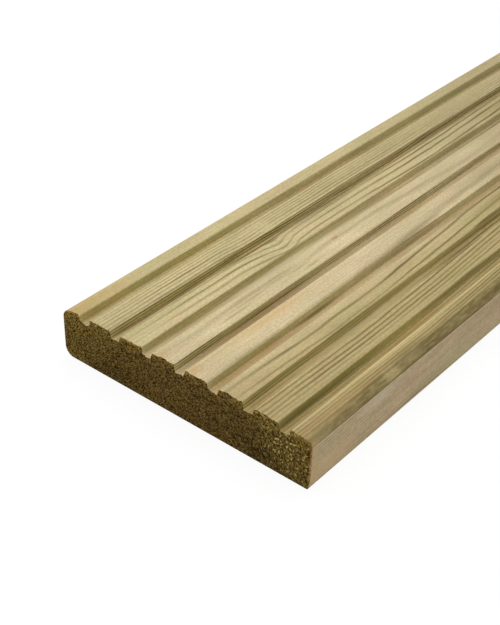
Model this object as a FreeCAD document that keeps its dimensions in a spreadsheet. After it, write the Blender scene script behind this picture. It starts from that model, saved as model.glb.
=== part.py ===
"""A grooved softwood decking board, lying flat with its grooved walking face up.

X runs along the board, Y across it and Z up. The origin is the middle of the underside.
"""
import FreeCAD, Part
import math
import os
import Sketcher

NODE = "decking_board"

# Driving dimensions, in millimetres and degrees.
# "Right" and "left" are as seen by someone who looks along the board in +X.
DIMENSIONS = {
    "board_length": 1800,
    "board_width": 145,
    "board_thickness": 28,
    "crown_rise": 1.5,
    "groove_pitch": 19.5,
    "groove_depth": 3.8,
    "groove_floor_width": 4.8,
    "groove_wall_angle": 16,
    "groove_root_radius": 0.5,
    "rib_shoulder_radius": 0.5,
    "upper_arris_radius": 5,
    "lower_left_arris_radius": 5,
    "lower_right_arris_radius": 1.2,
}

# The walking face is an arc across the board, so that rain runs off it.
CROWN_RADIUS = "((dims.board_width / 2)^2 + dims.crown_rise^2) / (2 * dims.crown_rise)"
CROWN_CENTRE_HEIGHT = f"dims.board_thickness - ({CROWN_RADIUS})"

# The walls of a groove lean outwards, so its mouth is wider than its floor.
WALL_ANGLE = "dims.groove_wall_angle * 1 deg"
GROOVE_MOUTH = f"dims.groove_floor_width + 2 * dims.groove_depth * tan({WALL_ANGLE})"

# As many grooves as the pitch allows between the two upper arrises, spread evenly about the middle.
EDGE_MARGIN = f"dims.upper_arris_radius + dims.rib_shoulder_radius + ({GROOVE_MOUTH}) / 2"
GROOVE_SPACES = f"floor((dims.board_width - 2 * ({EDGE_MARGIN})) / dims.groove_pitch)"
GROOVE_STEP = f"dims.groove_pitch / ({CROWN_RADIUS}) * 1 rad"

# How near an edge has to lie to a corner of the section to be that corner.
SAME_PLACE = 0.02


def dimension_sheet(doc):
    sheet = doc.addObject("Spreadsheet::Sheet", "dims")
    for row, (alias, value) in enumerate(DIMENSIONS.items(), start=1):
        sheet.set(f"A{row}", alias)
        sheet.set(f"B{row}", str(value))
        sheet.setAlias(f"B{row}", alias)
    doc.recompute()
    return sheet


def sketch_across(body, name):
    """A sketch on the plane that cuts across the board: its x is the board's Y, its y is Z."""
    plane = next(item for item in body.Origin.OriginFeatures if item.Role == "YZ_Plane")
    sketch = body.newObject("Sketcher::SketchObject", name)
    sketch.AttachmentSupport = [(plane, "")]
    sketch.MapMode = "FlatFace"
    return sketch


def drive(sketch, name, expression, *constraint):
    """Add a dimension to a sketch under a name, and bind it to the sheet."""
    sketch.renameConstraint(sketch.addConstraint(Sketcher.Constraint(*constraint)), name)
    sketch.setExpression(f"Constraints.{name}", expression)


def blank_section(body, sheet):
    """The outline of the planed board before it is grooved, with square corners."""
    sketch = sketch_across(body, "blank_section")
    half_width = sheet.board_width / 2
    side = sheet.board_thickness - sheet.crown_rise
    lower_right = FreeCAD.Vector(-half_width, 0)
    lower_left = FreeCAD.Vector(half_width, 0)
    upper_left = FreeCAD.Vector(half_width, side)
    upper_right = FreeCAD.Vector(-half_width, side)
    crown_top = FreeCAD.Vector(0, sheet.board_thickness)
    underside = sketch.addGeometry(Part.LineSegment(lower_right, lower_left))
    left_edge = sketch.addGeometry(Part.LineSegment(lower_left, upper_left))
    crown = sketch.addGeometry(Part.Arc(upper_left, crown_top, upper_right))
    right_edge = sketch.addGeometry(Part.LineSegment(upper_right, lower_right))

    origin_point, cross_axis, upright_axis = (-1, 1), -1, -2
    sketch.addConstraint([
        Sketcher.Constraint("Coincident", underside, 2, left_edge, 1),
        Sketcher.Constraint("Coincident", left_edge, 2, crown, 1),
        Sketcher.Constraint("Coincident", crown, 2, right_edge, 1),
        Sketcher.Constraint("Coincident", right_edge, 2, underside, 1),
        Sketcher.Constraint("Symmetric", underside, 1, underside, 2, *origin_point),
        Sketcher.Constraint("PointOnObject", underside, 1, cross_axis),
        Sketcher.Constraint("Vertical", left_edge),
        Sketcher.Constraint("Symmetric", crown, 1, crown, 2, upright_axis),
    ])
    drive(sketch, "width", "dims.board_width", "Distance", underside, sheet.board_width)
    drive(sketch, "side", "dims.board_thickness - dims.crown_rise", "Distance", left_edge, side)
    drive(sketch, "crown_radius", CROWN_RADIUS, "Radius", crown, sketch.Geometry[crown].Radius)
    return sketch


def solved_crown_radius(body):
    """The walking face's radius, as the blank's sketch has it."""
    return body.Document.blank_section.getDatum("crown_radius").Value


def groove_section(body, sheet):
    """One groove's cutter, drawn upright over the crown's centre and leant over to the first place."""
    sketch = sketch_across(body, "groove_section")
    sketch.setExpression("AttachmentOffset.Base.y", CROWN_CENTRE_HEIGHT)
    sketch.setExpression("AttachmentOffset.Rotation.Angle", f"-({GROOVE_SPACES}) / 2 * ({GROOVE_STEP})")

    crown_radius = solved_crown_radius(body)
    flare = math.tan(math.radians(sheet.groove_wall_angle))
    half_floor = sheet.groove_floor_width / 2
    half_top = half_floor + 2 * sheet.groove_depth * flare
    floor_height = crown_radius - sheet.groove_depth
    top_height = crown_radius + sheet.groove_depth
    floor_right = FreeCAD.Vector(-half_floor, floor_height)
    floor_left = FreeCAD.Vector(half_floor, floor_height)
    top_left = FreeCAD.Vector(half_top, top_height)
    top_right = FreeCAD.Vector(-half_top, top_height)
    floor = sketch.addGeometry(Part.LineSegment(floor_right, floor_left))
    left_wall = sketch.addGeometry(Part.LineSegment(floor_left, top_left))
    top = sketch.addGeometry(Part.LineSegment(top_left, top_right))
    right_wall = sketch.addGeometry(Part.LineSegment(top_right, floor_right))

    origin_point, upright_axis = (-1, 1), -2
    sketch.addConstraint([
        Sketcher.Constraint("Coincident", floor, 2, left_wall, 1),
        Sketcher.Constraint("Coincident", left_wall, 2, top, 1),
        Sketcher.Constraint("Coincident", top, 2, right_wall, 1),
        Sketcher.Constraint("Coincident", right_wall, 2, floor, 1),
        Sketcher.Constraint("Symmetric", floor, 1, floor, 2, upright_axis),
        Sketcher.Constraint("Symmetric", top, 1, top, 2, upright_axis),
    ])
    lean = math.radians(90 - sheet.groove_wall_angle)
    drive(sketch, "floor_width", "dims.groove_floor_width", "Distance", floor, sheet.groove_floor_width)
    drive(sketch, "wall_slope", f"90 deg - {WALL_ANGLE}", "Angle", left_wall, lean)
    drive(sketch, "floor_height", f"{CROWN_RADIUS} - dims.groove_depth",
          "DistanceY", *origin_point, floor, 2, floor_height)
    drive(sketch, "top_height", f"{CROWN_RADIUS} + dims.groove_depth",
          "DistanceY", *origin_point, top, 1, top_height)
    return sketch


def edges_along_board(shape, accepts):
    """The names of the edges that run along the board and whose point across it is accepted."""
    names = []
    for number, edge in enumerate(shape.Edges, start=1):
        middle = edge.BoundBox.Center
        if edge.BoundBox.XLength > SAME_PLACE and accepts(edge, middle.y, middle.z):
            names.append(f"Edge{number}")
    return names


def rounding(body, name, radius, accepts):
    """Round the accepted edges of the body as it stands."""
    base = body.Tip
    fillet = body.newObject("PartDesign::Fillet", name)
    fillet.Base = (base, edges_along_board(base.Shape, accepts))
    fillet.setExpression("Radius", f"dims.{radius}")
    body.Document.recompute()


def planed_blank(body, sheet):
    """The board's full length, with its four long arrises eased."""
    pad = body.newObject("PartDesign::Pad", "blank")
    pad.Profile = blank_section(body, sheet)
    pad.SideType = "Symmetric"
    pad.setExpression("Length", "dims.board_length")
    body.Document.recompute()

    half_width = sheet.board_width / 2
    side = sheet.board_thickness - sheet.crown_rise

    def upper(edge, y, z):
        return math.hypot(abs(y) - half_width, z - side) < SAME_PLACE

    def lower_left(edge, y, z):
        return math.hypot(y - half_width, z) < SAME_PLACE

    def lower_right(edge, y, z):
        return math.hypot(y + half_width, z) < SAME_PLACE

    rounding(body, "upper_arrises", "upper_arris_radius", upper)
    rounding(body, "lower_left_arris", "lower_left_arris_radius", lower_left)
    rounding(body, "lower_right_arris", "lower_right_arris_radius", lower_right)


def grooves(body, sheet):
    """The grooves, equally deep under the crown, with eased rib shoulders and floor corners."""
    blank_volume = body.Tip.Shape.Volume
    groove_sketch = groove_section(body, sheet)
    body.Document.recompute()
    first = body.newObject("PartDesign::Pocket", "first_groove")
    first.Profile = groove_sketch
    first.Type = "ThroughAll"
    first.SideType = "Symmetric"
    body.Document.recompute()
    if first.Shape.Volume >= blank_volume:
        raise RuntimeError("the first groove cuts nothing")

    pattern = body.newObject("PartDesign::PolarPattern", "groove_row")
    pattern.Originals = [first]
    pattern.Axis = (groove_sketch, ["N_Axis"])
    pattern.setExpression("Occurrences", f"{GROOVE_SPACES} + 1")
    pattern.setExpression("Angle", f"({GROOVE_SPACES}) * ({GROOVE_STEP})")
    body.Tip = pattern
    body.Document.recompute()

    half_floor = sheet.groove_floor_width / 2
    crown_radius = solved_crown_radius(body)
    crown_centre = sheet.board_thickness - crown_radius
    root_distance = math.hypot(crown_radius - sheet.groove_depth, half_floor)

    def from_crown_centre(y, z):
        return math.hypot(y, z - crown_centre)

    def on_a_wall(edge):
        return any(isinstance(face.Surface, Part.Plane)
                   for face in pattern.Shape.ancestorsOfType(edge, Part.Face))

    def shoulder(edge, y, z):
        return abs(from_crown_centre(y, z) - crown_radius) < SAME_PLACE and on_a_wall(edge)

    def root(edge, y, z):
        return abs(from_crown_centre(y, z) - root_distance) < SAME_PLACE

    rounding(body, "rib_shoulders", "rib_shoulder_radius", shoulder)
    rounding(body, "groove_roots", "groove_root_radius", root)


def check(doc, body):
    for item in doc.Objects:
        if "Invalid" in item.State or "Error" in item.State:
            raise RuntimeError(f"{item.Name} failed: {item.State}")
    if body.Shape.isNull() or not body.Shape.isValid() or len(body.Shape.Solids) != 1:
        raise RuntimeError(f"{body.Label} is not one valid solid")


def main():
    doc = FreeCAD.newDocument("decking_board_model")
    sheet = dimension_sheet(doc)
    board = doc.addObject("PartDesign::Body", "board")
    board.Label = NODE
    planed_blank(board, sheet)
    grooves(board, sheet)
    doc.recompute()
    check(doc, board)
    os.makedirs("parts", exist_ok=True)
    board.Shape.exportStep(f"parts/{board.Label}.step")


main()
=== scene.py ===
"""A grooved decking board of green pressure-treated pine, dressed around its CAD frame.

X runs along the board, Y across it and Z up, in metres, from the middle of the underside.
The front end is the one at -X. Left and right are as seen by someone who looks along +X.
"""
import math

import bmesh
import bpy
from mathutils import Matrix, Quaternion, Vector


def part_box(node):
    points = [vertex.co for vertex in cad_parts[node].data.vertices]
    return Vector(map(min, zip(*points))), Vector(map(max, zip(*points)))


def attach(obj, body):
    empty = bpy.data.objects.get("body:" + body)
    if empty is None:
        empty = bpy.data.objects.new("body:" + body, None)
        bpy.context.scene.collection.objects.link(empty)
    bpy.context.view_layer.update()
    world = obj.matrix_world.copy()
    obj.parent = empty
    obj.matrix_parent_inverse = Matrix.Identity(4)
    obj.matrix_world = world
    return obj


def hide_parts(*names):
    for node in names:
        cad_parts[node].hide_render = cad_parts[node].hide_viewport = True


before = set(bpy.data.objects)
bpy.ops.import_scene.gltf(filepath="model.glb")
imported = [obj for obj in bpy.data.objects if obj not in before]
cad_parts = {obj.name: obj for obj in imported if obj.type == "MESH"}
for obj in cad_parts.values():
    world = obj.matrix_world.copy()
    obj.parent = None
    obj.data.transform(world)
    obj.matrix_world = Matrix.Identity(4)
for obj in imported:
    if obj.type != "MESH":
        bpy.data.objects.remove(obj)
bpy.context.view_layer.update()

MM = 0.001
BOARD = "decking_board"
BODY = "root"

# The section, as the CAD has it.
LOW, HIGH = (Vector(corner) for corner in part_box(BOARD))
LENGTH = HIGH.x - LOW.x
HALF_WIDTH = (HIGH.y - LOW.y) / 2
CROWN_HEIGHT = 28 * MM
CROWN_RISE = 1.5 * MM
GROOVE_COUNT = 7
GROOVE_PITCH = 19.5 * MM
GROOVE_DEPTH = 3.8 * MM
GROOVE_FLOOR = 4.8 * MM
WALL_LEAN = math.radians(16)
ROOT_RADIUS = 0.5 * MM
SHOULDER_RADIUS = 0.5 * MM
UPPER_ARRIS = 5 * MM
LOWER_LEFT_ARRIS = 5 * MM
LOWER_RIGHT_ARRIS = 1.2 * MM

# The walking face is an arc across the board, and the grooves stand square to it.
CROWN_RADIUS = (HALF_WIDTH ** 2 + CROWN_RISE ** 2) / (2 * CROWN_RISE)
GROOVE_STEP = GROOVE_PITCH / CROWN_RADIUS

# How many straight pieces each stretch of the outline is drawn with.
SIDE_CUTS = 40
ARRIS_CUTS = 7
EDGE_RIB_CUTS = 6
RIB_CUTS = 16
SHOULDER_CUTS = 3
WALL_CUTS = 5
ROOT_CUTS = 2
FLOOR_CUTS = 6
GROOVE_CUTS = 2 * (SHOULDER_CUTS + WALL_CUTS + ROOT_CUTS) + FLOOR_CUTS
RIBS_CUTS = (GROOVE_COUNT - 1) * RIB_CUTS + 2 * EDGE_RIB_CUTS
UNDERSIDE_CUTS = GROOVE_COUNT * GROOVE_CUTS + RIBS_CUTS

# Steps along the board, short near a sawn end and longer towards the middle.
END_STEPS = tuple(step * MM for step in (1.6, 2, 3, 5, 8, 12, 18, 30))
MIDDLE_STEP = 60 * MM

# Points that are nearer than this are the same, and faces that turn less than this shade as one.
SAME_PLACE = MM / 100
SMOOTH_TURN = math.radians(35)

# What the saw does to the ends: patch size, depth, sharpness, and how much of the end it reaches.
SAW_WAVES = (4 * MM, 0.2 * MM, 1, 1)
TORN_PITS = (1.0 * MM, 0.7 * MM, 3, 0.9)
TORN_RIM = (1.5 * MM, 0.7 * MM, 3, 0.75)

# The section in the materials' millimetres: the half width, the grooves' pitch and depth, and about
# how far out the last groove's mouth reaches and how high up the planed side ends.
SIDE = HALF_WIDTH / MM
PITCH = GROOVE_PITCH / MM
FLOOR_DEPTH = GROOVE_DEPTH / MM
LAST_MOUTH = GROOVE_COUNT // 2 * PITCH + GROOVE_FLOOR / MM / 2 + FLOOR_DEPTH * math.tan(WALL_LEAN)
ARRIS_FOOT = (CROWN_HEIGHT - CROWN_RISE - UPPER_ARRIS) / MM

# The tree's growth rings, in millimetres: where the pith lies, how wide the rings settled to be,
# the radius and the stretch of growth over which they narrowed, and where the heartwood ends.
PITH = (0, 0, -40)
OUTER_RING = 1.05
NARROWED_AT = 74.5
NARROWING = 5.1
HEARTWOOD_RADIUS = 71

# The share of a year at which the count of rings starts, and the draw of the years that end dark.
FIRST_RING = 0.59
YEARS_SEED = 2707

# Real streaks in the grooves' walls and the sawn end lie closer than this, in millimetres. These are
# drawn as coarse as they need to be to show.
STREAK_PITCH = 1.2

# How the rings wander: the length of a wave and the most that it moves them, in millimetres.
SWAYS = (
    ((260, 60, 60), 0.5),
    ((40, 10, 10), 0.1),
    ((15, 3, 3), 0.05),
)

# Where the stem wasn't straight: push on the rings, centre and reach, in millimetres from the
# middle of the front end's foot, as are all the marks below. The third and fourth are a small knot.
BENDS = (
    (-1.9, (85, -50, 15), (145, 100, 130)),
    (0.5, (290, -45, 15), (80, 90, 120)),
    (0.8, (105, 28, 28), (28, 40, 40)),
    (0.9, (109, 27, 28), (12, 18, 20)),
    (0.8, (230, 30, 28), (90, 45, 45)),
)

# Where the growth lines fade: centre and reach.
FADED = (
    ((117, 45, 28), (9, 16, 20)),
    ((330, 52, 28), (170, 18, 40)),
    ((0, 19.5, 24), (700, 4, 4)),
    ((100, -53.5, 27), (250, 2.5, 6)),
    ((60, -58.8, 23.6), (160, 2.6, 2.4)),
)

# Marks on the planed faces: tint, strength, centre and reach.
# On the ribs, from left to right: golden front corners, dull stretches, dark streaks on a shoulder, a
# flame of green arcs over the heart, a reddish speck, and a dark one on another shoulder.
RIB_MARKS = (
    ("#B8903F", 0.40, (0, 66, 27), (60, 10, 8)),
    ("#9A8A5A", 0.22, (240, 49, 28), (190, 9, 4)),
    ("#5A4420", 0.80, (165, 35.3, 27.2), (80, 0.7, 2)),
    ("#6A5A2C", 0.50, (150, 33.9, 27), (50, 0.9, 3)),
    ("#8A7A48", 0.80, (370, 29, 28), (110, 9, 4)),
    ("#B98A50", 0.30, (2, 12, 28), (8, 4, 4)),
    ("#9A9358", 0.55, (46, 7.4, 28), (16, 1.1, 3)),
    ("#9A9358", 0.55, (64, 9.8, 28), (16, 1.1, 3)),
    ("#9A9358", 0.55, (82, 10.6, 28), (16, 1.1, 3)),
    ("#9A9358", 0.55, (97, 9, 28), (12, 1.2, 3)),
    ("#9A9358", 0.55, (105, 6.2, 28), (9, 1.4, 3)),
    ("#B07850", 0.70, (131.5, 12.5, 28), (4, 1.5, 3)),
    ("#C89A52", 0.40, (55, -6, 28), (55, 4, 4)),
    ("#C08A4A", 0.45, (3, -6, 28), (8, 5, 4)),
    ("#8A7A48", 0.60, (235, -29, 28), (70, 7, 4)),
    ("#9A8A58", 0.15, (90, -29, 28), (110, 8, 4)),
    ("#4E4326", 0.90, (46, -41, 27.5), (1.0, 0.7, 2)),
    ("#9A8A58", 0.18, (130, -49, 28), (90, 8, 4)),
)
# In the grooves, from left to right: dark streaks, and stretches that took up more or less stain.
GROOVE_MARKS = (
    ("#5A4420", 0.85, (35, 40.7, 24), (75, 0.8, 3)),
    ("#5A4420", 0.70, (100, 39.8, 24), (40, 0.8, 3)),
    ("#5A4420", 0.60, (160, 40.2, 24), (60, 1.0, 3)),
    ("#6A5426", 0.25, (150, 38.5, 24), (80, 3, 2.5)),
    ("#D6C9A0", 0.70, (110, 20.5, 24), (130, 4, 3)),
    ("#75501A", 0.60, (55, 1, 24), (90, 5, 3)),
    ("#7A6230", 0.25, (150, 0, 24.2), (80, 3, 2.5)),
    ("#6A5A2C", 0.35, (150, -16.6, 25.5), (70, 1.8, 3.5)),
    ("#A87F46", 0.45, (40, -18.3, 24), (70, 4, 3)),
    ("#5E4420", 0.70, (78, -17.2, 24.3), (26, 1.3, 2)),
    ("#C8B878", 0.32, (80, -36.2, 25.5), (160, 1.8, 3.5)),
    ("#C4B688", 0.40, (90, -38.2, 24), (130, 2.6, 3)),
    ("#7A5A2C", 0.50, (15, -38, 24), (45, 0.9, 3)),
    ("#5A4A20", 0.65, (165, -38.4, 24), (70, 0.8, 3)),
    ("#5E4E24", 0.40, (150, -55.4, 26), (70, 1.8, 3)),
    ("#4E4018", 0.45, (0, -56, 25), (110, 3, 4)),
    ("#86703C", 0.30, (60, -58.8, 23.6), (160, 2.6, 2.2)),
    ("#40330F", 0.50, (20, -56, 24.2), (60, 0.9, 1.0)),
)
# On the last rib and the right side: a painted highlight along the rib's left shoulder, weathered
# patches, and a side that is warm at its front end, then pale, grey and green.
RIGHT_EDGE_MARKS = (
    ("#4A3C14", 0.22, (95, -71.5, 25.2), (22, 4, 4)),
    ("#76684A", 0.50, (76, -68, 27), (22, 5, 6)),
    # A painted highlight along the last rib's left shoulder.
    ("#E2CA96", 0.60, (80, -62.5, 27), (220, 0.9, 3)),
    ("#8E7A4A", 0.45, (100, -66.2, 27), (300, 2.8, 5)),
    ("#C09868", 0.25, (20, -67, 27), (60, 5, 5)),
    ("#BE9A64", 0.40, (0, -72.5, 13), (9, 6, 24)),
    ("#D2C4AC", 0.40, (50, -72.5, 19), (24, 3, 5)),
    ("#8A7C60", 0.35, (95, -72.5, 19), (20, 3, 5)),
    ("#CDB184", 0.45, (14, -72.5, 5), (28, 3, 10)),
    ("#A9A678", 0.40, (115, -72.5, 4), (50, 3, 8)),
)

# Where the stain on the right upper arris is darkest, and where it is weak: centre and reach.
ARRIS_STAINS = (
    ((43, -71, 25), (20, 8, 8)),
    ((95, -71, 25), (30, 8, 8)),
    ((122, -71, 25), (66, 8, 8)),
    ((250, -71, 25), (60, 8, 8)),
)
STAIN_GAP = ((61, -71, 25), (8, 20, 20))

# Patches of the sawn end, golden or dark with resin: tint, strength, centre and reach.
END_STAINS = (
    ("#8A722E", 0.50, (0, 66, 20), (30, 14, 14)),
    ("#33240F", 0.40, (0, 38, 3), (30, 22, 12)),
    ("#33240F", 0.40, (0, -46, 6), (30, 20, 11)),
    ("#5E3E16", 0.60, (0, -71.5, 17), (30, 3, 14)),
)

# Where the rings show as lines on the sawn end, where its fibre tips are pale, and where its torn
# grain wraps round the edge of the right side: centre and reach.
END_LINES = ((0, -36, 11), (30, 38, 26))
PALE_TIPS = ((0, -61, 16), (30, 26, 28))
WRAPPED_EDGE = ((0, -72.5, 21), (2.0, 4, 30))

# The floor's width in metres, which puts its edges far from the board.
FLOOR_WIDTH = 40

# Settings that many nodes share.
EASED = {"interpolation_type": "SMOOTHSTEP"}
TIMES = {"operation": "MULTIPLY"}
TIMES_PLUS = {"operation": "MULTIPLY_ADD"}
COLOURS = {"data_type": "RGBA"}


def draw_line(pen, end, cuts):
    """Draw a straight stretch of outline from the pen to its end."""
    step = (end - pen) / cuts
    for _ in range(cuts):
        bpy.ops.mesh.extrude_region_move(TRANSFORM_OT_translate={"value": step})
    return end


def draw_round(pen, centre, turn, cuts):
    """Draw an arc about a centre. A positive turn goes from +Y towards +Z."""
    # The spin operator turns clockwise about its axis, so the axis points the other way.
    bpy.ops.mesh.spin(steps=cuts, angle=turn, center=centre, axis=(-1, 0, 0))
    return centre + Matrix.Rotation(turn, 3, "X") @ (pen - centre)


def draw_grooves(pen, crown, first_lean, last_lean):
    """Draw the ribs and grooves of the walking face, from its left edge to its right one."""
    wall = Vector((0, math.sin(WALL_LEAN), math.cos(WALL_LEAN)))
    into_rib = Vector((0, math.cos(WALL_LEAN), -math.sin(WALL_LEAN)))
    floor_corner = Vector((0, GROOVE_FLOOR / 2, CROWN_RADIUS - GROOVE_DEPTH))

    # The shoulder's arc touches the wall and the crown, and the root's arc the wall and the floor.
    beside_wall = floor_corner + SHOULDER_RADIUS * into_rib
    along = beside_wall.dot(wall)
    reach = CROWN_RADIUS - SHOULDER_RADIUS
    up_wall = -along + math.sqrt(along ** 2 - beside_wall.length_squared + reach ** 2)
    shoulder = beside_wall + up_wall * wall
    wall_top = floor_corner + up_wall * wall
    mouth_lean = math.atan2(shoulder.y, shoulder.z)
    root_turn = math.pi / 2 - WALL_LEAN
    shoulder_turn = root_turn + mouth_lean
    root_setback = ROOT_RADIUS * math.tan(root_turn / 2)
    wall_foot = floor_corner + root_setback * wall
    root = floor_corner + Vector((0, -root_setback, ROOT_RADIUS))
    floor_end = floor_corner - Vector((0, root_setback, 0))

    lean_now = first_lean
    for number in range(GROOVE_COUNT):
        lean = (number - (GROOVE_COUNT - 1) / 2) * GROOVE_STEP
        turned = Matrix.Rotation(lean, 3, "X")
        mirrored = turned @ Matrix.Scale(-1, 3, (0, 1, 0))
        rib_cuts = EDGE_RIB_CUTS if number == 0 else RIB_CUTS
        pen = draw_round(pen, crown, lean - mouth_lean - lean_now, rib_cuts)
        pen = draw_round(pen, crown + turned @ shoulder, shoulder_turn, SHOULDER_CUTS)
        pen = draw_line(pen, crown + turned @ wall_foot, WALL_CUTS)
        pen = draw_round(pen, crown + turned @ root, -root_turn, ROOT_CUTS)
        pen = draw_line(pen, crown + mirrored @ floor_end, FLOOR_CUTS)
        pen = draw_round(pen, crown + mirrored @ root, -root_turn, ROOT_CUTS)
        pen = draw_line(pen, crown + mirrored @ wall_top, WALL_CUTS)
        pen = draw_round(pen, crown + mirrored @ shoulder, shoulder_turn, SHOULDER_CUTS)
        lean_now = lean + mouth_lean
    return draw_round(pen, crown, last_lean - lean_now, EDGE_RIB_CUTS)


def draw_section():
    """Draw the board's outline at its front end, once round, and leave it open for editing."""
    x = LOW.x
    crown = Vector((x, 0, CROWN_HEIGHT - CROWN_RADIUS))
    arris_reach = CROWN_RADIUS - UPPER_ARRIS
    arris_lean = math.asin((HALF_WIDTH - UPPER_ARRIS) / arris_reach)
    arris_height = crown.z + arris_reach * math.cos(arris_lean)
    quarter = math.pi / 2

    left_foot = Vector((x, HALF_WIDTH, LOWER_LEFT_ARRIS))
    bpy.ops.object.select_all(action="DESELECT")
    bpy.ops.mesh.primitive_plane_add(size=MM, location=left_foot)
    board = bpy.context.object
    board.name = "grooved_board"
    bpy.ops.object.transform_apply()
    bpy.ops.object.mode_set(mode="EDIT")
    bpy.ops.mesh.merge(type="CENTER")

    pen = draw_line(left_foot, Vector((x, HALF_WIDTH, arris_height)), SIDE_CUTS)
    left_arris = Vector((x, HALF_WIDTH - UPPER_ARRIS, arris_height))
    pen = draw_round(pen, left_arris, quarter - arris_lean, ARRIS_CUTS)
    pen = draw_grooves(pen, crown, -arris_lean, arris_lean)
    right_arris = Vector((x, UPPER_ARRIS - HALF_WIDTH, arris_height))
    pen = draw_round(pen, right_arris, quarter - arris_lean, ARRIS_CUTS)
    pen = draw_line(pen, Vector((x, -HALF_WIDTH, LOWER_RIGHT_ARRIS)), SIDE_CUTS)
    lower_right = Vector((x, LOWER_RIGHT_ARRIS - HALF_WIDTH, LOWER_RIGHT_ARRIS))
    pen = draw_round(pen, lower_right, quarter, ARRIS_CUTS)
    pen = draw_line(pen, Vector((x, HALF_WIDTH - LOWER_LEFT_ARRIS, 0)), UNDERSIDE_CUTS)
    lower_left = Vector((x, HALF_WIDTH - LOWER_LEFT_ARRIS, LOWER_LEFT_ARRIS))
    draw_round(pen, lower_left, quarter, ARRIS_CUTS)
    bpy.ops.mesh.select_all(action="SELECT")
    bpy.ops.mesh.remove_doubles(threshold=SAME_PLACE)
    return board


def run_to_length():
    """Draw the outline out to the board's whole length."""
    middle = LENGTH - 2 * sum(END_STEPS)
    middle_count = round(middle / MIDDLE_STEP)
    steps = END_STEPS + (middle / middle_count,) * middle_count + END_STEPS[::-1]
    for step in steps:
        bpy.ops.mesh.extrude_region_move(TRANSFORM_OT_translate={"value": (step, 0, 0)})


def name_points(board, name):
    """Keep the selected points under a name."""
    bpy.ops.object.vertex_group_add()
    board.vertex_groups.active.name = name
    bpy.ops.object.vertex_group_assign()


def close_end(board, end, x):
    """Fill one end's outline with a net of small faces, in the end grain's material."""
    mesh = bmesh.from_edit_mesh(board.data)
    bpy.ops.mesh.select_all(action="DESELECT")
    for edge in mesh.edges:
        edge.select_set(all(abs(vert.co.x - x) < SAME_PLACE for vert in edge.verts))
    # The net is woven from the right foot, so that the sides carry its rows.
    right_foot = Vector((x, -HALF_WIDTH, LOWER_RIGHT_ARRIS))
    mesh.select_history.clear()
    mesh.select_history.add(min(mesh.verts, key=lambda vert: (vert.co - right_foot).length))
    bmesh.update_edit_mesh(board.data)
    bpy.ops.mesh.fill_grid(span=SIDE_CUTS, use_interp_simple=True)
    board.active_material_index = len(board.data.materials) - 1
    bpy.ops.object.material_slot_assign()
    name_points(board, f"{end}_face")

    # The face keeps only the points inside the outline, and the rim takes those along the ribs.
    bpy.ops.mesh.region_to_loop()
    bpy.ops.object.vertex_group_remove_from()
    rim_foot = CROWN_HEIGHT - CROWN_RISE - GROOVE_DEPTH - MM
    for vert in mesh.verts:
        if vert.co.z < rim_foot or abs(vert.co.y) > HALF_WIDTH - UPPER_ARRIS:
            vert.select_set(False)
    bmesh.update_edit_mesh(board.data)
    name_points(board, f"{end}_rim")


def roughen(board, points, damage, inwards):
    """Push named points of an end in, unevenly, as the saw left them."""
    size, depth, sharpness, share = damage
    pattern = bpy.data.textures.new("saw_damage", "CLOUDS")
    pattern.noise_scale = size
    pattern.noise_depth = 1
    pattern.contrast = sharpness
    pattern.intensity = share
    pattern.use_clamp = True
    push = board.modifiers.new("saw_damage", "DISPLACE")
    push.texture = pattern
    push.texture_coords = "LOCAL"
    push.direction = "X"
    push.vertex_group = points
    push.mid_level = 0
    push.strength = depth * inwards
    bpy.ops.object.modifier_apply(modifier=push.name)
    bpy.data.textures.remove(pattern)


def mould_board(face_wood, end_wood):
    """The planed and grooved board, sawn off at its two ends."""
    board = draw_section()
    board.data.materials.append(face_wood)
    board.data.materials.append(end_wood)
    run_to_length()
    close_end(board, "front", LOW.x)
    close_end(board, "back", HIGH.x)
    bpy.ops.mesh.select_all(action="SELECT")
    bpy.ops.mesh.normals_make_consistent(inside=False)
    bpy.ops.object.mode_set(mode="OBJECT")
    for end, inwards in (("front", 1), ("back", -1)):
        roughen(board, f"{end}_face", SAW_WAVES, inwards)
        roughen(board, f"{end}_face", TORN_PITS, inwards)
        roughen(board, f"{end}_rim", TORN_RIM, inwards)
    bpy.ops.object.shade_smooth_by_angle(angle=SMOOTH_TURN)
    return board


def colour(code):
    """An sRGB hex value as the linear colour that a shader takes."""
    channels = [int(code[start:start + 2], 16) / 255 for start in (1, 3, 5)]
    linear = [c / 12.92 if c <= 0.04045 else ((c + 0.055) / 1.055) ** 2.4 for c in channels]
    return (*linear, 1)


def add(tree, kind, *inputs, **settings):
    """Add a node with its settings, fill its open inputs in order, and return its first output."""
    node = tree.nodes.new(f"ShaderNode{kind}")
    for name, value in settings.items():
        setattr(node, name, value)
    open_inputs = [socket for socket in node.inputs if socket.enabled]
    for socket, value in zip(open_inputs, inputs):
        if isinstance(value, bpy.types.NodeSocket):
            tree.links.new(value, socket)
        else:
            socket.default_value = value
    return next((socket for socket in node.outputs if socket.enabled), None)


def new_material(name):
    """An empty material, its tree and its shader."""
    material = bpy.data.materials.new(name)
    material.use_nodes = True
    tree = material.node_tree
    tree.nodes.clear()
    surface = add(tree, "BsdfPrincipled")
    add(tree, "OutputMaterial", surface)
    return material, tree, surface.node


def millimetres(tree):
    """The place in the board, in millimetres from the middle of the front end's foot."""
    place = add(tree, "TexCoord").node.outputs["Object"]
    from_front = add(tree, "VectorMath", place, (LOW.x, 0, 0), operation="SUBTRACT")
    return add(tree, "VectorMath", from_front, 1 / MM, operation="SCALE")


def mottling(tree, place, size, least, most, detail=2, softness=0.2):
    """An uneven tone between two levels, in patches of a size in millimetres along X, Y and Z."""
    scaled = add(tree, "Mapping", place, (0, 0, 0), (0, 0, 0), size, vector_type="TEXTURE")
    noise = add(tree, "TexNoise", scaled, 1, detail)
    return add(tree, "MapRange", noise, 0.5 - softness, 0.5 + softness, least, most, **EASED)


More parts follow.
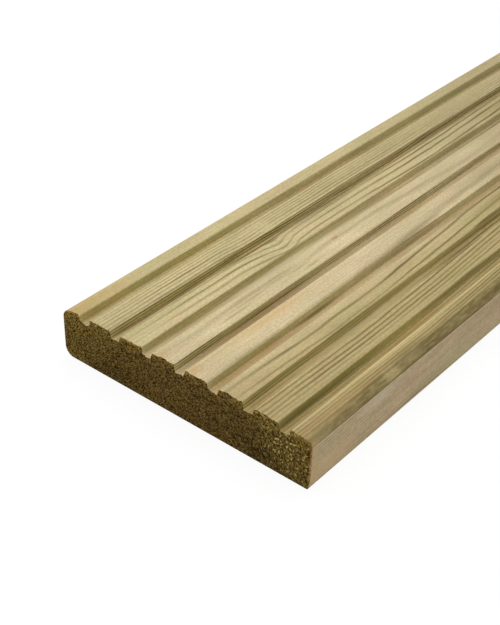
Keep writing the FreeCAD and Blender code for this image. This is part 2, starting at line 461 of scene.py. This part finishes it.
def soft_mark(tree, place, centre, reach):
    """A soft oval mark, 1 at its centre and 0 from its reach outwards, in millimetres."""
    scaled = add(tree, "Mapping", place, centre, (0, 0, 0), reach, vector_type="TEXTURE")
    cone = add(tree, "TexGradient", scaled, gradient_type="SPHERICAL").node.outputs["Fac"]
    return add(tree, "MapRange", cone, 0, 1, 0, 1, **EASED)


def marked(tree, place, wood, marks):
    """A wood's colour with soft marks laid over it, one after the other."""
    for tint, strength, centre, reach in marks:
        mark = add(tree, "Math", soft_mark(tree, place, centre, reach), strength, **TIMES)
        wood = add(tree, "Mix", mark, wood, colour(tint), **COLOURS)
    return wood


def below_crown(tree, place):
    """Depth under the arc of the walking face, in millimetres."""
    centre_depth = (CROWN_RADIUS - CROWN_HEIGHT) / MM
    from_centre = add(tree, "VectorMath", place, (0, 1, 1), (0, 0, centre_depth), **TIMES_PLUS)
    reach = add(tree, "VectorMath", from_centre, operation="LENGTH")
    return add(tree, "Math", CROWN_RADIUS / MM, reach, operation="SUBTRACT")


def growth_rings(tree, place):
    """Latewood and heartwood, from 0 to 1, and the radius, of the rings that run through the board."""
    along, across, _ = add(tree, "SeparateXYZ", place).node.outputs
    from_pith = add(tree, "VectorMath", place, (0, 1, 1), [-c for c in PITH], **TIMES_PLUS)
    radius = add(tree, "VectorMath", from_pith, operation="LENGTH")
    for size, most in SWAYS:
        sway = mottling(tree, place, size, -most, most, 1)
        radius = add(tree, "Math", radius, sway, operation="ADD")
    for push, centre, reach in BENDS:
        radius = add(tree, "Math", soft_mark(tree, place, centre, reach), push, radius, **TIMES_PLUS)
    # The stem's left half grew slower, and past the knot slower still.
    slower = add(tree, "MapRange", along, 70, 106, 1.6, 2.1, **EASED)
    left_half = add(tree, "MapRange", across, 5, 25, 0, 1, **EASED)
    radius = add(tree, "Math", slower, left_half, radius, **TIMES_PLUS)

    # A tree grows fast while it is young, so its rings are wide inside and settle to narrow ones.
    age = add(tree, "MapRange", radius, NARROWED_AT, NARROWED_AT + NARROWING, 0, 1, clamp=False)
    age = add(tree, "Math", age, operation="EXPONENT")
    age = add(tree, "Math", age, 1, operation="ADD")
    age = add(tree, "Math", age, math.e, operation="LOGARITHM")
    rings = add(tree, "Math", age, NARROWING / OUTER_RING, FIRST_RING, **TIMES_PLUS)

    # Each year ends in a dark line about half a millimetre wide, darker in some years than in others.
    beside_line = add(tree, "Math", rings, 0.5, operation="PINGPONG")
    half_line = add(tree, "MapRange", radius, 72, 84, 0.18, 0.42, **EASED)
    line = add(tree, "MapRange", beside_line, half_line, 0, 0, 1, **EASED)
    year = add(tree, "Math", rings, operation="ROUND")
    year = add(tree, "Math", year, YEARS_SEED, operation="ADD")
    chance = add(tree, "TexWhiteNoise", year, noise_dimensions="1D")
    late = add(tree, "Math", line, add(tree, "MapRange", chance, 0, 1, 0.4, 1.0), **TIMES)
    heart = add(tree, "MapRange", radius, HEARTWOOD_RADIUS + 5, HEARTWOOD_RADIUS - 3, 0, 1, **EASED)
    return late, heart, radius


def groove_shares(tree, place):
    """Where the walls and the floors of the grooves are, each from 0 to 1."""
    across = add(tree, "SeparateXYZ", place).node.outputs["Y"]
    aside = add(tree, "Math", across, operation="ABSOLUTE")
    depth = below_crown(tree, place)
    # Depth below the crown tells them from the ribs. What lies deeper or further out is the board's edge.
    in_grooves = add(tree, "MapRange", depth, 0.3, 0.8, 0, 1, **EASED)
    for share in (add(tree, "MapRange", depth, FLOOR_DEPTH + 0.7, FLOOR_DEPTH + 0.4, 0, 1, **EASED),
                  add(tree, "MapRange", aside, LAST_MOUTH + 4, LAST_MOUTH + 2, 0, 1, **EASED)):
        in_grooves = add(tree, "Math", in_grooves, share, **TIMES)
    lowest = add(tree, "MapRange", depth, FLOOR_DEPTH - 0.4, FLOOR_DEPTH - 0.05, 0, 1, **EASED)
    on_floors = add(tree, "Math", in_grooves, lowest, **TIMES)
    on_walls = add(tree, "Math", in_grooves, on_floors, operation="SUBTRACT")
    return on_walls, on_floors


def growth_lines(tree, place, late, on_walls, on_side):
    """How dark the growth lines show on the planed faces, from 0 to 1."""
    along, across, _ = add(tree, "SeparateXYZ", place).node.outputs
    aside = add(tree, "Math", across, operation="ABSOLUTE")
    depth = below_crown(tree, place)

    # On the ribs they are clearest to the right, and faint over the heart and at the left edge.
    # Those beside the heart start faint at the front end, and are strong further along.
    outer = add(tree, "MapRange", aside, 36, 42, 0, 1, **EASED)
    near = add(tree, "MapRange", outer, 0, 1, 0.3, 0.8)
    far = add(tree, "MapRange", aside, 14, 22, 1.0, 1.5, **EASED)
    far = add(tree, "Mix", outer, far, 1.0)
    patchy = mottling(tree, place, (60, 8, 8), 0.1, 0.7)
    clear = add(tree, "MapRange", aside, 8, 22, 0.3, 1.0, **EASED)
    for share in (add(tree, "MapRange", across, -20, 20, 1.0, 0.88, **EASED),
                  add(tree, "MapRange", outer, 0, 1, 1.15, 0.95),
                  add(tree, "MapRange", along, 0, 50, near, 1.0, **EASED),
                  add(tree, "MapRange", along, 170, 250, 1.0, far, **EASED),
                  add(tree, "MapRange", across, 55, 62, 1.0, 0.15, **EASED),
                  add(tree, "MapRange", on_side, 0, 1, 1.0, patchy)):
        clear = add(tree, "Math", clear, share, **TIMES)

    # The walls of every other groove are clearly streaked, and the rest faintly.
    turn = add(tree, "Math", aside, PITCH, operation="PINGPONG")
    striped = add(tree, "MapRange", turn, 12, 6, 0.4, 1.2, **EASED)
    wall_lines = add(tree, "Math", striped, 0.5, **TIMES)
    clear = add(tree, "Mix", on_walls, clear, wall_lines)
    for centre, reach in FADED:
        faded = soft_mark(tree, place, centre, reach)
        clear = add(tree, "Math", clear, add(tree, "MapRange", faded, 0, 1, 1, 0.2), **TIMES)
    clear = add(tree, "Math", clear, mottling(tree, place, (70, 5, 5), 0.6, 1.15), **TIMES)
    lines = add(tree, "Math", late, clear, use_clamp=True, **TIMES)
    streaks = add(tree, "Math", depth, mottling(tree, place, (150, 20, 20), -1, 1), operation="ADD")
    streaks = add(tree, "Math", streaks, STREAK_PITCH / 2, operation="PINGPONG")
    streaks = add(tree, "MapRange", streaks, 0.1, 0.4, 1, 0, **EASED)
    for share in (on_walls, striped, mottling(tree, place, (70, 3, 1.5), 0.2, 1.0)):
        streaks = add(tree, "Math", streaks, share, **TIMES)
    return add(tree, "Math", lines, streaks, operation="MAXIMUM")


def treated_colour(tree, place, heart, on_walls, on_floors, on_side):
    """The wood's colour between its lines, as the preservative left it, and a painted highlight."""
    along, across, height = add(tree, "SeparateXYZ", place).node.outputs
    wood = add(tree, "Mix", heart, colour("#CEBF8E"), colour("#D7C69D"), **COLOURS)
    # Warm and green patches come and go, most of all on the sides.
    for size, most_on_side, tint in (((18, 9, 9), 0.9, "#D2AE8C"),
                                     ((26, 8, 11), 0.65, "#B4AE78")):
        most = add(tree, "MapRange", on_side, 0, 1, 0.25, most_on_side)
        wood = add(tree, "Mix", mottling(tree, place, size, 0, most), wood, colour(tint), **COLOURS)
    # The right third took up more of the preservative.
    soaked = add(tree, "MapRange", across, -12, -38, 0, 1, **EASED)
    wood = add(tree, "Mix", soaked, wood, colour("#E9E6DA"), blend_type="MULTIPLY", **COLOURS)
    # The walls are green, the floors brown, and the sides grey-brown with a painted highlight along the
    # top.
    wall_tint = add(tree, "MapRange", along, 60, 150, 0.5, 0.25, **EASED)
    floor_tint = mottling(tree, place, (55, 15, 15), 0.1, 0.5)
    # A thin painted highlight on the side, just below the arris.
    painted_side_highlight = add(tree, "MapRange", height, ARRIS_FOOT - 0.5, ARRIS_FOOT + 0.3, 0, 0.2, **EASED)
    for share, strength, tint in ((on_walls, wall_tint, "#9A9438"),
                                  (on_floors, floor_tint, "#A58650"),
                                  (on_side, 0.5, "#B8A38C"),
                                  (on_side, painted_side_highlight, "#D6CAB0")):
        tinted = add(tree, "Math", share, strength, **TIMES)
        wood = add(tree, "Mix", tinted, wood, colour(tint), **COLOURS)
    return wood


def arris_stain(tree, place):
    """The stain along the right upper arris, in patches, from the rib's edge down to a crisp line."""
    _, across, height = add(tree, "SeparateXYZ", place).node.outputs
    stain = mottling(tree, place, (30, 10, 10), 0.4, 0.7)
    for centre, reach in ARRIS_STAINS:
        patch = add(tree, "MapRange", soft_mark(tree, place, centre, reach), 0.05, 0.6, 0, 0.74)
        stain = add(tree, "Math", stain, patch, operation="MAXIMUM")
    for share in (mottling(tree, place, (6, 1.2, 1.2), 0.7, 1.15, 4),
                  add(tree, "MapRange", soft_mark(tree, place, *STAIN_GAP), 0.1, 0.6, 1, 0.45),
                  add(tree, "MapRange", height, ARRIS_FOOT + 0.6, ARRIS_FOOT + 0.8, 0, 1, **EASED),
                  add(tree, "MapRange", across, 6.1 - SIDE, 3.1 - SIDE, 0, 1, **EASED)):
        stain = add(tree, "Math", stain, share, **TIMES)
    return stain


def planed_pine():
    """Pine planed by a moulder's cutters and pressure treated with a green preservative."""
    # A planed face is smooth and dull: pale wood between fine olive lines, with no gloss.
    material, tree, shader = new_material("planed_pressure_treated_pine")
    place = millimetres(tree)
    along, across, _ = add(tree, "SeparateXYZ", place).node.outputs
    aside = add(tree, "Math", across, operation="ABSOLUTE")
    on_side = add(tree, "MapRange", aside, SIDE - 0.08, SIDE - 0.03, 0, 1, **EASED)
    on_walls, on_floors = groove_shares(tree, place)
    late, heart, _ = growth_rings(tree, place)
    lines = growth_lines(tree, place, late, on_walls, on_side)
    wood = treated_colour(tree, place, heart, on_walls, on_floors, on_side)
    wood = add(tree, "Mix", lines, wood, colour("#695424"), **COLOURS)

    # Fibres, pores and soft clouds, and a front stretch that is paler than the rest but for its rim.
    # Real fibres and pores are far finer. These are drawn as coarse as they need to be to show.
    fibres = mottling(tree, place, (40, 0.8, 0.8), 0.93, 1.07)
    tone = fibres
    for share in (mottling(tree, place, (1.6, 0.9, 0.9), 0.9, 1.1),
                  mottling(tree, place, (60, 12, 12), 0.95, 1.05),
                  add(tree, "MapRange", along, 0, 40, 0.94, 1.0, **EASED),
                  add(tree, "MapRange", along, 100, 400, 1.0, 0.76, **EASED)):
        tone = add(tree, "Math", tone, share, **TIMES)
    wood = add(tree, "VectorMath", wood, tone, operation="SCALE")
    wood = add(tree, "Mix", arris_stain(tree, place), wood, colour("#64552C"), **COLOURS)
    wood = marked(tree, place, wood, RIB_MARKS + GROOVE_MARKS + RIGHT_EDGE_MARKS)
    # Torn end grain wraps round the front edge of the right side.
    wrapped = soft_mark(tree, place, *WRAPPED_EDGE)
    wrapped = add(tree, "Math", wrapped, mottling(tree, place, (0.9, 0.9, 0.9), 0.5, 3, 1), **TIMES)
    wood = add(tree, "Mix", wrapped, wood, colour("#74561F"), **COLOURS)

    # The hard lines stand a little proud of the fibres between them, and are a little smoother.
    relief = add(tree, "Math", lines, 0.2, fibres, **TIMES_PLUS)
    bumps = add(tree, "Bump", 0.3, 0.15 * MM, 0.1, relief)
    tree.links.new(wood, shader.inputs["Base Color"])
    tree.links.new(bumps, shader.inputs["Normal"])
    tree.links.new(add(tree, "MapRange", lines, 0, 1, 0.78, 0.66), shader.inputs["Roughness"])
    shader.inputs["Specular IOR Level"].default_value = 0.15
    return material


def sawn_end_grain():
    """Pine sawn across its fibres and left rough."""
    # Cut fibres drink the preservative and hold shade between them, so the end is dark and woolly.
    material, tree, shader = new_material("sawn_pine_end_grain")
    place = millimetres(tree)
    along, across, height = add(tree, "SeparateXYZ", place).node.outputs
    depth = below_crown(tree, place)
    late, heart, radius = growth_rings(tree, place)
    wood = add(tree, "Mix", heart, colour("#7A622E"), colour("#6F552A"), **COLOURS)
    wood = marked(tree, place, wood, END_STAINS)
    # Some fibres along the rims of the ribs kept the planed face's colour.
    tufts = add(tree, "MapRange", depth, 2.8, 0.2, 0, 1, **EASED)
    tufts = add(tree, "Math", tufts, mottling(tree, place, (2.2, 2.2, 2.2), 0, 0.9, 1, 0.1), **TIMES)
    wood = add(tree, "Mix", tufts, wood, colour("#9E8344"), **COLOURS)

    # The saw tore the fibres along the rings, so they are drawn by radius and by way round the pith.
    # Real fibres are far finer. These are drawn as coarse as they need to be to show.
    above_pith = add(tree, "Math", height, PITH[2], operation="SUBTRACT")
    turn = add(tree, "Math", across, above_pith, operation="ARCTAN2")
    arc = add(tree, "Math", turn, HEARTWOOD_RADIUS, **TIMES)
    round_pith = add(tree, "CombineXYZ", radius, arc, along)
    fibres = mottling(tree, round_pith, (0.4, 0.9, 0.6), 0.0, 1.68, 2, 0.15)
    # In the right half the rings show as dark lines, and the fibres lie smoother.
    lined = soft_mark(tree, place, *END_LINES)
    lined = add(tree, "Math", lined, mottling(tree, round_pith, (2, 10, 6), 0.5, 2), **TIMES)
    ring_lines = add(tree, "Math", radius, STREAK_PITCH / 2, operation="PINGPONG")
    ring_lines = add(tree, "MapRange", ring_lines, 0.1, 0.5, 0.3, 1.3, **EASED)
    smoother = add(tree, "Math", lined, 0.3, use_clamp=True, **TIMES)
    tone = add(tree, "Mix", smoother, fibres, 1.0)
    # The pits and the bottom edge lie in shade, and the ribs are lighter than the core.
    sunk = add(tree, "Math", along, LENGTH / 2 / MM, operation="PINGPONG")
    for share in (add(tree, "MapRange", sunk, 0.05, 0.6, 1.05, 0.65, **EASED),
                  add(tree, "MapRange", height, 0, 1.5, 0.6, 1.0, **EASED),
                  add(tree, "MapRange", depth, 9, 4, 1.0, 1.15, **EASED),
                  add(tree, "MapRange", late, 0, 1, 1.0, 0.85),
                  add(tree, "Mix", lined, 1.0, ring_lines)):
        tone = add(tree, "Math", tone, share, **TIMES)
    wood = add(tree, "VectorMath", wood, tone, operation="SCALE")
    # The tips of some fibres stand out pale, most of all near the right edge.
    pale = soft_mark(tree, place, *PALE_TIPS)
    for size, least, share, tint in (((0.5, 1.5, 0.7), -2.5, 0.5, "#8F8048"),
                                     ((1.0, 1.2, 1.0), -170, pale, "#C4B06E")):
        tips = mottling(tree, round_pith, size, least, 1, 0)
        tips = add(tree, "Math", tips, share, use_clamp=True, **TIMES)
        wood = add(tree, "Mix", tips, wood, colour(tint), **COLOURS)

    tree.links.new(wood, shader.inputs["Base Color"])
    shader.inputs["Roughness"].default_value = 0.95
    shader.inputs["Specular IOR Level"].default_value = 0.02
    return material


def seen_directly(tree):
    """1 for the rays that show the surroundings, 0 for those that only light the board."""
    seen = add(tree, "LightPath").node.outputs
    direct = add(tree, "Math", seen["Is Camera Ray"], seen["Is Glossy Ray"], operation="MAXIMUM")
    return add(tree, "Math", direct, seen["Is Transmission Ray"], operation="MAXIMUM")


def pale_floor():
    """A wide white floor, which sends light back up against the board's sides."""
    bpy.ops.object.select_all(action="DESELECT")
    bpy.ops.mesh.primitive_plane_add(size=FLOOR_WIDTH)
    floor = bpy.context.object
    floor.name = "studio_floor"
    # Matt paint has no gloss. Seen directly it glows nearly to white, and the lamps do the rest, so
    # that the board's shadow stays on it.
    material, tree, shader = new_material("white_studio_floor")
    direct = seen_directly(tree)
    paint = add(tree, "Mix", direct, colour("#F0F0F0"), colour("#606060"), **COLOURS)
    glow = add(tree, "Math", direct, 0.9, **TIMES)
    tree.links.new(paint, shader.inputs["Base Color"])
    tree.links.new(glow, shader.inputs["Emission Strength"])
    shader.inputs["Emission Color"].default_value = (1, 1, 1, 1)
    shader.inputs["Roughness"].default_value = 1
    shader.inputs["Specular IOR Level"].default_value = 0
    floor.data.materials.append(material)


def soft_lamp(name, power, spread, towards):
    """A broad lamp, so far off that it lights everything evenly."""
    light = bpy.data.lights.new(name, "SUN")
    light.energy = power
    light.angle = math.radians(spread)
    lamp = bpy.data.objects.new(name, light)
    lamp.rotation_mode = "QUATERNION"
    lamp.rotation_quaternion = Vector(towards).to_track_quat("-Z", "Y")
    bpy.context.collection.objects.link(lamp)


def studio_light():
    """Soft light all round, a wide soft lamp overhead, and a weak low one beside the camera."""
    world = bpy.data.worlds.new("studio")
    world.use_nodes = True
    tree = world.node_tree
    tree.nodes.clear()
    strength = add(tree, "MapRange", seen_directly(tree), 0, 1, 0.35, 1.0)
    background = add(tree, "Background", (1, 1, 1, 1), strength)
    add(tree, "OutputWorld", background)
    bpy.context.scene.world = world
    soft_lamp("overhead", power=2.0, spread=100, towards=(-0.2, -0.2, -1.0))
    soft_lamp("fill", power=0.4, spread=40, towards=(0.5, 0.8, -0.25))


def photo_camera():
    """The camera that took the photo: beyond the front end, above and to the right of the board."""
    place = Vector((-1221.6, -296.2, 365.5)) * MM
    aim = Vector((-816.4, 27.9, 0)) * MM
    roll = math.radians(1.43)
    lens = bpy.data.cameras.new("photo_camera")
    lens.lens = 72.95
    lens.sensor_width = 36
    lens.clip_start = 10 * MM
    camera = bpy.data.objects.new("photo_camera", lens)
    camera.location = place
    camera.rotation_mode = "QUATERNION"
    camera.rotation_quaternion = (aim - place).to_track_quat("-Z", "Y") @ Quaternion((0, 0, 1), roll)
    bpy.context.collection.objects.link(camera)
    bpy.context.scene.camera = camera


board = mould_board(planed_pine(), sawn_end_grain())
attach(board, BODY)
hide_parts(BOARD)

pale_floor()
studio_light()
photo_camera()
bpy.context.scene.view_settings.view_transform = "Standard"
